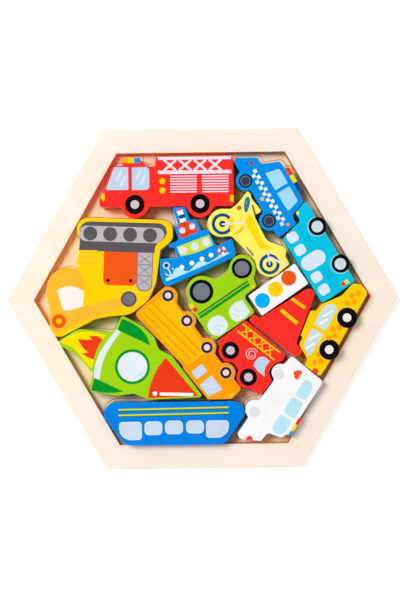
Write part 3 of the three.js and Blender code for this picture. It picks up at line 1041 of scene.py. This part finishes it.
class PUZZLE_OT_motorcycle(PuzzleOperator, bpy.types.Operator):
    """Paint the motorcycle, with its ringed wheels, seat, screen and fork"""

    bl_idname = "puzzle.motorcycle"
    bl_label = "Motorcycle"

    def execute(self, context):
        layers = []
        for x, y, tyre in ((-23.6, -0.1, 8.0), (23.4, 0.1, 7.6)):
            layers += rings(x, y, teal=tyre + 0.2, navy=tyre - 0.3, gold=tyre - 2.3, lemon=tyre - 2.6)
            layers += rings(x, y, teal=2.6, navy=2.2)
        layers += [
            ("gold", panel((-23.0, 9.2, 0.5), (-18.8, 7.6, 5), (-16.4, 5.2, 5), (-14.8, 2.4, 4),
                           (-14.3, -0.4, 0.5), (-16.9, 0.4, 3), (-18.6, 3.2, 4), (-21.9, 5.3, 1))),
            ("amber", panel((-11.4, 9.8), (-9.6, 8.4, 3), (-8.7, 5.8, 3), (-9.6, 3.0, 4), (-12.5, -1.4),
                            (-11.2, 3.1, 4), (-11.0, 5.5, 3), (-11.2, 7.6, 3))),
            ("gold", band([(-19.3, 14.3), (-17.8, 13.5), (-16.4, 12.4), (-15.2, 11.2), (-14.4, 10.0)],
                          0.35)),
            ("pearl", stroke(-23.4, -0.3, -12.0, 11.3, 1.3)),
            ("gold", panel((-12.3, 18.2, 1.5), (-9.3, 18.8, 2), (-0.2, 14.1, 3), (6.6, 10.9, 3),
                           (11.8, 9.5, 2), (15.6, 10.3), (15.5, 7.6, 2), (10.9, 4.7, 3), (6.2, 5.6, 3),
                           (-1.7, 8.8, 3), (-9.1, 10.5, 3), (-12.8, 14.2, 3))),
            ("teal", panel((-23.2, 27.4, 1), (-21.5, 28.6, 1), (-19.2, 26.9, 3), (-17.0, 23.5, 4),
                           (-14.9, 18.2, 1), (-17.3, 18.0, 2), (-21.0, 21.9, 4), (-22.8, 25.0, 3))),
            ("sky", stroke(-21.2, 25.2, -19.6, 23.1, 0.3)),
            ("slate", stroke(-15.3, 25.4, -10.0, 21.8, 1.5)),
            ("citron", stroke(-14.4, 25.8, -9.9, 22.8, 0.5)),
            ("orange_red", disc(-22, 17.3, 1.8)),
            ("pearl", stroke(16.1, 6.7, 23.5, 0.1, 1.1), stroke(20.8, 4.6, 32.2, 7.0, 1.7)),
            ("amber", stroke(5.4, -1.1, 9.3, -2.0, 1.0)),
            ("teal", stroke(2.0, -1.5, 9.7, -3.1, 1.0)),
        ]
        painted_block("motorcycle", "lemon", layers)
        return {"FINISHED"}


class PUZZLE_OT_excavator(PuzzleOperator, bpy.types.Operator):
    """Paint the excavator, with its track, mast, engine cover, arm and bucket"""

    bl_idname = "puzzle.excavator"
    bl_label = "Excavator"

    def execute(self, context):
        painted_block("excavator", "yellow", [
            ("amber", panel((26.6, 46.0, 4), (29.1, 41.5, 4), (31.5, 39.0, 3), (40, 35), (60, 45), (62, 80),
                            (53, 88), (47.4, 87.5, 3), (42.8, 87.2, 3), (33.8, 83.0, 6), (24.9, 78.6, 6),
                            (15.9, 74.5), (6.9, 71.2), (-5.9, 66.2), (-2.6, 59.9), (26.0, 67.6),
                            (25.2, 55.1, 2), (25.0, 50.5, 4))),
            ("blush", panel((45.8, 56.1, 0.8), (42.3, 53.7, 2), (36.3, 52.6, 5), (31, 53.3, 4),
                            (25.4, 56.2, 0.5), (26, 67.6), (38.4, 71.6, 1), (41.5, 69.9, 1))),
            ("orange_red", disc(43.7, 79.3, 5.3)), ("yellow", disc(43.7, 79.3, 2.2)),
            ("dark_grey", panel((30.4, 3.0, 7.5), (30.0, 25.0, 0.6), (16.7, 24.6), (16.3, 25.4),
                                (-27, 25.4), (-27.4, 20.3), (-29.6, 17.6, 2), (-33.5, 14.7, 3),
                                (-35.9, 10.5, 4), (-35.9, 2.8, 8))),
            ("light_grey", panel((30.4, 6.2, 5.4), (30.4, 18.0, 5.4), (-28.4, 18.0), (-29.6, 17.2),
                                 (-33.1, 14.4, 1), (-33.9, 12.0, 2), (-33.9, 6.3, 5.6))),
            ("orange_red", panel((-14.5, 25.4), (11.3, 25.4), (11.3, 50.8, 4.5), (-14.5, 50.8, 4.5))),
            ("soot", disc(7.5, 47.2, 1.4), disc(-9.6, 47.0, 1.4)),
            ("mauve", panel((-26.2, 25.4), (-13.9, 25.4), (-14.0, 54.6, 5), (-26.0, 54.6, 5))),
            ("light_grey", panel((-25.5, 25.4), (-14.6, 25.4), (-14.7, 53.8, 4.6), (-25.3, 53.8, 4.6))),
            ("mauve", *(stroke(-25.2, y, -14.8, y, 0.6, blunt=True) for y in (34.6, 43.0))),
            ("dark_grey", disc(-8.6, 60.9, 6.0)), ("mauve", disc(-8.6, 60.9, 4.4)),
        ])
        printed_row("excavator", "rollers", "dark_grey", disc(0, 0, 5.3),
                    start=(22.1, 12.1), step=(-15.1, 0), count=4)
        printed_row("excavator", "mast_braces", "mauve", crossing(4.5, 3.2, 0.5),
                    start=(-19.9, 30.3), step=(0, 8.5), count=3)
        printed_row("excavator", "vents", "amber", box(-6.5, -0.6, 6.5, 0.6),
                    start=(23.0, 26.6), step=(0, 3.8), count=3)
        return {"FINISHED"}


class PUZZLE_OT_tractor(PuzzleOperator, bpy.types.Operator):
    """Paint the tractor, with its cab windows, stripes and wheels"""

    bl_idname = "puzzle.tractor"
    bl_label = "Tractor"

    def execute(self, context):
        layers = [
            ("forest", stroke(-15.3, 11.8, 28.9, 11.7, 1.2)), ("leaf", stroke(-14.9, 14.4, 29, 14.2, 2.2)),
            ("ice", box(14.7, 19.6, 29.5, 34.0, 6.2),
             panel((-4.3, 21.3, 0.5), (-4.0, 32.6, 0.5), (2.0, 33.8, 4), (8.8, 33.0, 4), (10.7, 28.4, 5),
                   (9.3, 22.8, 4), (5.8, 20.6, 4), (0.9, 19.8, 5))),
            ("yellow", disc(-16.1, 17.5, 1.6), square(29.6, 3.4, 3.2)), ("red", square(29.2, 7.2, 3.2)),
            ("mint", stroke(22.6, 25.7, 19, 29.9, 1.0), stroke(26.3, 26.4, 22.8, 31, 1.0),
             stroke(4.7, 24, 1.7, 28.5, 1.0), stroke(7.9, 25.7, 4.9, 29.8, 1.0)),
        ]
        layers += rings(-17.6, 1.4, black=7.8, mid_grey=5.6) + rings(17.7, -1.4, black=9.1, mid_grey=6.5)
        painted_block("tractor", "lime", layers)
        return {"FINISHED"}


class PUZZLE_OT_traffic_light(PuzzleOperator, bpy.types.Operator):
    """Paint the traffic light and its three lamps"""

    bl_idname = "puzzle.traffic_light"
    bl_label = "Traffic light"

    def execute(self, context):
        lamp = 5.75
        painted_block("traffic_light", "white", [
            ("lamp_blue", disc(-14.7, 0.2, lamp)), ("yellow", disc(-1.7, 1.6, lamp)),
            ("orange_red", disc(11.3, 2.9, lamp)),
        ])
        return {"FINISHED"}


class PUZZLE_OT_bus(PuzzleOperator, bpy.types.Operator):
    """Paint the bus, with its windows, lines and wheels"""

    bl_idname = "puzzle.bus"
    bl_label = "Bus"

    def execute(self, context):
        wide, high = 3.85, 4.15                             # half sizes of a window
        windows = ((19.4, 20.6), (8.3, 20.8), (-15.7, 20.9), (-26.7, 21.1))
        layers = [
            ("deep_cyan", *(stroke(-30, y, 27, y, 0.5) for y in (13.2, 10.2))),
            ("mist", *(box(x - wide, y - high, x + wide, y + high, 2.3) for x, y in windows),
             box(-9.4, 6.6, 2.2, 26.1, 5.7)),
            ("citron", disc(33.2, 8.1, 1.6), box(-32.4, 1.9, -29.3, 5.0, 0.6)),
            ("flame_red", box(-32.2, 5.0, -29.1, 8.1, 0.6)),
        ]
        for x in (16.6, -16.7):
            layers += rings(x, 0.5, lagoon=7.8) + rings(x, 0.0, black=6.9) + rings(x, 0.4, mint=4.4)
        painted_block("bus", "cyan", layers)
        return {"FINISHED"}


class PUZZLE_OT_taxi(PuzzleOperator, bpy.types.Operator):
    """Paint the taxi, with its windows, chequers and wheels"""

    bl_idname = "puzzle.taxi"
    bl_label = "Taxi"

    def execute(self, context):
        layers = [
            ("mint", panel((-2.8, 19.5, 0.6), (10.4, 19.9, 3), (15.3, 18.3, 3), (17.8, 14.5, 3),
                           (17.6, 10.9, 2), (14.5, 9.6, 2), (-2.9, 9.5, 0.6)),
             panel((-21.4, 18.6, 2), (-5.9, 19.5, 0.6), (-5.6, 9.7, 0.6), (-22.8, 10.1, 1), (-25, 11, 1),
                   (-24.7, 12.9, 1.5))),
            ("red", disc(-33.4, 1.4, 2.3)), ("orange", square(-20.8, 5.2, 3.6)),
            ("white", stroke(6.1, 16.1, 13.1, 12.4, 1.5), stroke(-0.7, 16.1, 5.5, 12.7, 1.5),
             stroke(-14.1, 16.7, -7.7, 13, 1.5), stroke(-21.6, 15.6, -15.6, 12.6, 1.5)),
        ]
        for x in (-13.8, 13.9):
            layers += rings(x, 0.0, black=7.75) + rings(x, 0.2, blush=3.3)
        painted_block("taxi", "yellow", layers)
        for end, start, count in (("front", 34.1, 2), ("middle", 4.6, 2), ("back", -24.4, 1)):
            printed_row("taxi", end + "_chequers", "orange", square(0, 0, 3.6),
                        start=(start, 1.5), step=(-7.1, 0.0), count=count, shift=(-3.6, 3.6), rows=2)
        return {"FINISHED"}


class PUZZLE_OT_ladder_truck(PuzzleOperator, bpy.types.Operator):
    """Paint the ladder truck, with its ladder, hose coil and windscreen"""

    bl_idname = "puzzle.ladder_truck"
    bl_label = "Ladder truck"

    def execute(self, context):
        layers = [
            ("yellow", stroke(-23.3, 19.1, 10.0, 30.2, 1.1), stroke(-21.2, 12.7, 11.9, 23.6, 1.1)),
            ("petal", coil(-0.8, 11.6, inner=1.1, outer=4.9, start=22, sweep=665, width=0.65)),
            ("glass", panel((7.1, 8.2, 1), (5.2, 10.8, 2), (4, 15.2, 3), (5.8, 18.6, 3), (11.2, 20.5),
                            (12.7, 15.9, 4), (15.1, 12.7, 4), (18.7, 10.5), (11.7, 8.3, 2))),
            ("lilac", stroke(7.4, 14.0, 8.4, 16.6, 0.9)),
        ]
        layers += rings(-12.1, 0, black=6.6, rose=3.3) + rings(12.3, 0, black=6.6, rose=3.3)
        painted_block("ladder_truck", "red", layers)
        slope = math.degrees(math.atan2(11.1, 33.3))        # the rise and run of the ladder's rails
        printed_row("ladder_truck", "ladder", "yellow", turned(crossing(2.9, 3.3, 0.9), slope),
                    start=(-17.3, 18.1), step=(7.17, 2.3), count=4)
        return {"FINISHED"}


class PUZZLE_OT_traffic_cone(PuzzleOperator, bpy.types.Operator):
    """Paint the traffic cone and its two stripes"""

    bl_idname = "puzzle.traffic_cone"
    bl_label = "Traffic cone"

    def execute(self, context):
        painted_block("traffic_cone", "red", [
            ("yellow", stroke(-8.1, 31.8, 4.4, 32.2, 2.4, blunt=True),
             stroke(-9.2, 20.0, 7.0, 19.4, 2.7, blunt=True)),
        ])
        return {"FINISHED"}


class PUZZLE_OT_lorry(PuzzleOperator, bpy.types.Operator):
    """Paint the lorry, with its load box, cab windows and four wheels"""

    bl_idname = "puzzle.lorry"
    bl_label = "Lorry"

    def execute(self, context):
        layers = [
            ("sun", panel((39.3, 25.6, 1), (-15.1, 20.0, 1), (-15.1, 3.7, 1), (-5.0, 0.8, 3), (15.2, -0.1),
                          (27.2, -0.5), (38.6, -0.6, 3))),
            ("pale_blue", box(-27.3, 10.6, -20.3, 20.8, 0.8),
             panel((-32.1, 21.6, 0.8), (-31.5, 9.8, 0.8), (-45.3, 9.7, 0.8), (-43.1, 21.4, 0.8))),
            ("yellow", disc(-52.7, 6.8, 1.2, 2.4)),
            ("lilac", stroke(-36.6, 12.2, -34.2, 18.8, 0.9), stroke(-40.2, 12.0, -37.8, 18.6, 0.9)),
        ]
        for x in (36.5, 12.7, -12.7, -36.6):
            layers += rings(x, 0, lavender=4.7, soot=4.3, petal=2.4)
        painted_block("lorry", "orange", layers)
        printed_row("lorry", "box_lines", "orange", turned(stroke(-25.2, 0, 25.2, 0, 1.8), 8.2),
                    start=(12.4, 19.0), step=(0.4, -5.0), count=3)
        return {"FINISHED"}


class PUZZLE_OT_rocket(PuzzleOperator, bpy.types.Operator):
    """Paint the rocket, with its nose, window, fins and flame"""

    bl_idname = "puzzle.rocket"
    bl_label = "Rocket"

    def execute(self, context):
        painted_block("rocket", "lime", [
            ("leaf", panel((-22.9, 29.4, 1), (-22.2, 20.2), (5.1, 19.8), (0.0, 25.0, 8), (-6.8, 28.3, 10),
                           (-15.0, 29.9, 10)),
             panel((-23.2, -20.2), (-21.8, -29.7, 1), (-13.8, -28.1, 10), (-5.2, -24.5, 10), (1.1, -20.5))),
            ("ice", panel((-23.0, 20.3), (-25.7, 10.4, 14), (-27.6, 0.3, 14), (-27.2, -9.7, 14),
                          (-25.5, -16.4, 12), (-23.1, -20.3), (-19.2, -19.8), (-20.8, -14.3, 12),
                          (-22.4, -7.6, 14), (-22.8, 0.6, 14), (-21.6, 10.3, 14), (-19.5, 20.2))),
            ("citron", panel((-28.5, 13.0, 0.5), (-39.7, 11.1, 12), (-48.8, 6.6, 12), (-56.0, -1.5, 10),
                             (-58.2, -6.2, 0.5), (-49.6, -6.0, 10), (-44.7, -6.9, 10), (-36.2, -11.3, 12),
                             (-27.8, -14.8, 0.5), (-29.6, -7.2, 10), (-30.5, -1.5, 12), (-30.3, 4.4, 10))),
            ("flame_red", panel((-47.1, 1.4), (-36.7, 5.4), (-40.4, 7.0), (-34.1, 9.8), (-29.4, 9.1),
                                (-30.3, 4.6, 8), (-30.5, -1.2, 8), (-29.4, -7.3), (-33.8, -8.1, 4),
                                (-39.7, -7.1), (-35.3, -4.5), (-40.3, -3.2, 3)),
             panel((19.5, 16.2, 0.4), (54.2, -0.2, 0.8), (20.1, -17.4, 0.4), (18.6, -12.9, 14),
                   (17.4, -7.1, 14), (17.0, 1.5, 14), (17.9, 9.2, 14))),
            ("white", disc(23.3, -12.1, 1.7), stroke(27.8, -10.4, 49.5, -1.1, 2.3)),
            ("leaf", disc(-0.5, -0.5, 13.3)), ("ice", disc(-0.5, -0.5, 11.2)),
            ("pale_blue", stroke(6.8, -4.6, 8.0, -1.7, 1.7), disc(4.7, -7.5, 0.8)),
        ])
        return {"FINISHED"}


class PUZZLE_OT_train(PuzzleOperator, bpy.types.Operator):
    """Paint the train, with its five windows and two lines"""

    bl_idname = "puzzle.train"
    bl_label = "Train"

    def execute(self, context):
        layers, light_edge = [], 0.8
        for rise in (0.0, 4.2):
            layers += [("forest", stroke(42.9, 6.0 + rise, -40.9, 5.0 + rise, 2.0, blunt=True)),
                       ("zest", stroke(42.7, 5.7 + rise, -40.7, 4.7 + rise, 1.2, blunt=True))]
        for window in (box(9.6, 14.7, 23.1, 25.1, 3.5), box(-6.0, 14.3, 7.5, 24.6, 3.5),
                       box(-21.9, 14.4, -8.4, 24.2, 3.5),
                       panel((25.2, 14.9, 2.6), (42.4, 14.9, 2.6), (42.4, 28.7, 9), (25.2, 28.7, 2.6)),
                       panel((-40.9, 14.5, 2.6), (-23.6, 14.5, 2.6), (-23.6, 27.7, 2.6), (-40.9, 27.7, 9))):
            layers += [("mist", window), ("pale_blue", offset(window, light_edge))]
        painted_block("train", "rail_blue", layers)
        return {"FINISHED"}


class PUZZLE_OT_ambulance(PuzzleOperator, bpy.types.Operator):
    """Paint the ambulance, with its windows, beacon and heart"""

    bl_idname = "puzzle.ambulance"
    bl_label = "Ambulance"

    def execute(self, context):
        painted_block("ambulance", "white", [
            ("aqua", panel((-10.0, 18.2, 1.5), (-10.4, 26.9, 2), (-14.0, 27.5, 5), (-23.0, 26.6, 6),
                           (-25.6, 21.6, 5), (-23.6, 18.0, 4)),
             panel((-6.6, 17.1, 2), (5.5, 18.2, 1.5), (5.7, 27.4, 2.2), (3.0, 28.2, 4), (-8.2, 27.1, 1.5),
                   (-8.1, 18.2, 2)),
             panel((9.0, 16.8, 2), (21.4, 17.2, 3.5), (22.6, 22.0, 4), (20.2, 26.8, 4), (16.7, 27.5, 5),
                   (7.7, 26.9, 1.5), (8.0, 17.8, 2))),
            ("pearl", disc(-16.6, -0.5, 4.1), disc(17.6, -0.5, 4.1)),
            *light_bar(30.2, 38, (2.2, 8.3, 14.1, 21), "flame_red", "citron", "lamp_blue"),
            ("red", disc(36.8, 7.4, 2.4)), ("orange_red", heart(-24.2, 11.2, 7.6)),
        ])
        return {"FINISHED"}


# Stage.

FLOOR_REACH = 14.0          # metres from the middle of the studio floor to its sides
FLOOR_DROP = 0.2            # millimetres from the tray's underside down to the floor
SENSOR_HEIGHT = 36.0        # millimetres
WHITE = (1.0, 1.0, 1.0, 1.0)
PAPER_WHITE = (0.96, 0.96, 0.96, 1.0)
DIM_FROM, DIM_TO = 0.35, 0.95       # heights between which the surround dims, 1 being straight above

# Each light's name, its place and side in metres, and the setting that holds its power.
LIGHTS = (
    ("key", (-1.24, 0.72, 2.17), 1.05, "key_power"),
    ("fill_left", (-1.7, 1.5, 1.4), 1.2, "fill_power"),
    ("fill_right", (2.0, 0.4, 1.5), 1.5, "fill_power"),
    ("fill_front", (-0.2, -2.1, 1.5), 1.5, "fill_power"),
)


def white_surround(settings):
    """A white surround that is dimmer straight above, where the painted tops would mirror it."""
    world = bpy.data.worlds.new("white_surround")
    world.use_nodes = True
    w = Wiring(world.node_tree)
    direction = w.add("ShaderNodeTexCoord", {}, "Generated")
    height = w.add("ShaderNodeSeparateXYZ", {"Vector": direction}, "Z")
    strength = w.spread(height, settings.surround, settings.overhead, low=DIM_FROM, high=DIM_TO)
    seen = w.times(w.add("ShaderNodeLightPath", {}, "Is Camera Ray"), settings.backdrop)
    background = w.nodes["Background"].inputs
    w.put(background["Strength"], w.maths("MAXIMUM", strength, seen))
    w.put(background["Color"], WHITE)
    return world


class PUZZLE_OT_stage(PuzzleOperator, bpy.types.Operator):
    """Set the white floor, the soft lights and the camera straight above the tray"""

    bl_idname = "puzzle.stage"
    bl_label = "Stage"

    def execute(self, context):
        settings, scene = context.scene.puzzle_stage, context.scene
        sheet = bmesh.new()
        bmesh.ops.create_grid(sheet, x_segments=2, y_segments=2, size=FLOOR_REACH)
        bmesh.ops.translate(sheet, vec=(0, 0, -FLOOR_DROP * MM), verts=sheet.verts)
        floor = placed("studio_floor", mesh_of("studio_floor", sheet))
        paper = bpy.data.materials.new("white_paper")
        paper.use_nodes = True
        shader = paper.node_tree.nodes["Principled BSDF"].inputs
        for label, value in (("Base Color", PAPER_WHITE), ("Roughness", 0.9), ("Specular IOR Level", 0.1),
                             ("Emission Color", WHITE), ("Emission Strength", settings.floor_glow)):
            shader[label].default_value = value
        floor.data.materials.append(paper)
        for name, place, side, power in LIGHTS:
            lamp = bpy.data.lights.new(name, "AREA")
            lamp.size = side
            lamp.energy = getattr(settings, power)
            stand = placed(name, lamp)
            stand.location = place
            stand.rotation_euler = (-Vector(place)).to_track_quat("-Z", "Y").to_euler()
            # The key is polarised, as over a copy stand, so that flat painted tops keep their colour.
            stand.visible_glossy = name != "key"
        scene.world = white_surround(settings)
        lens = bpy.data.cameras.new("camera")
        lens.sensor_fit = "VERTICAL"
        lens.sensor_height = SENSOR_HEIGHT
        lens.lens = settings.lens
        camera = placed("camera", lens)
        camera.location = (settings.camera_x, settings.camera_y, settings.camera_height)
        camera.rotation_euler = (0.0, 0.0, settings.camera_turn)
        scene.camera = camera
        scene.view_settings.view_transform = "Standard"
        return {"FINISHED"}


OPERATORS = (
    PUZZLE_OT_finishes, PUZZLE_OT_tray, PUZZLE_OT_footprints, PUZZLE_OT_fire_engine,
    PUZZLE_OT_police_car, PUZZLE_OT_tugboat, PUZZLE_OT_motorcycle, PUZZLE_OT_excavator,
    PUZZLE_OT_tractor, PUZZLE_OT_traffic_light, PUZZLE_OT_bus, PUZZLE_OT_taxi,
    PUZZLE_OT_ladder_truck, PUZZLE_OT_traffic_cone, PUZZLE_OT_lorry, PUZZLE_OT_rocket,
    PUZZLE_OT_train, PUZZLE_OT_ambulance, PUZZLE_OT_stage,
)


class PUZZLE_PT_panel(bpy.types.Panel):
    """The steps of dressing the puzzle, in order, and what can be changed before them"""

    bl_idname = "PUZZLE_PT_panel"
    bl_label = "Vehicle shape puzzle"
    bl_space_type = "VIEW_3D"
    bl_region_type = "UI"
    bl_category = "Puzzle"

    def draw(self, context):
        scene = context.scene
        for settings in (scene.puzzle_sizes, scene.puzzle_stage, scene.puzzle_paints):
            group = self.layout.box()
            for name in settings.__annotations__:
                group.prop(settings, name)
        for operator in OPERATORS:
            self.layout.operator(operator.bl_idname)


CLASSES = (PaintColours, PuzzleSizes, StageSettings) + OPERATORS + (PUZZLE_PT_panel,)


def register():
    for made in CLASSES:
        bpy.utils.register_class(made)
    bpy.types.Scene.puzzle_paints = PointerProperty(type=PaintColours)
    bpy.types.Scene.puzzle_sizes = PointerProperty(type=PuzzleSizes)
    bpy.types.Scene.puzzle_stage = PointerProperty(type=StageSettings)


def unregister():
    del bpy.types.Scene.puzzle_stage, bpy.types.Scene.puzzle_sizes, bpy.types.Scene.puzzle_paints
    for made in reversed(CLASSES):
        bpy.utils.unregister_class(made)


def main():
    register()
    for operator in OPERATORS:
        step = getattr(bpy.ops.puzzle, operator.bl_idname.split(".")[1])
        if step() != {"FINISHED"}:
            raise RuntimeError(f"{operator.bl_label} wasn't finished")


if __name__ == "__main__":
    main()
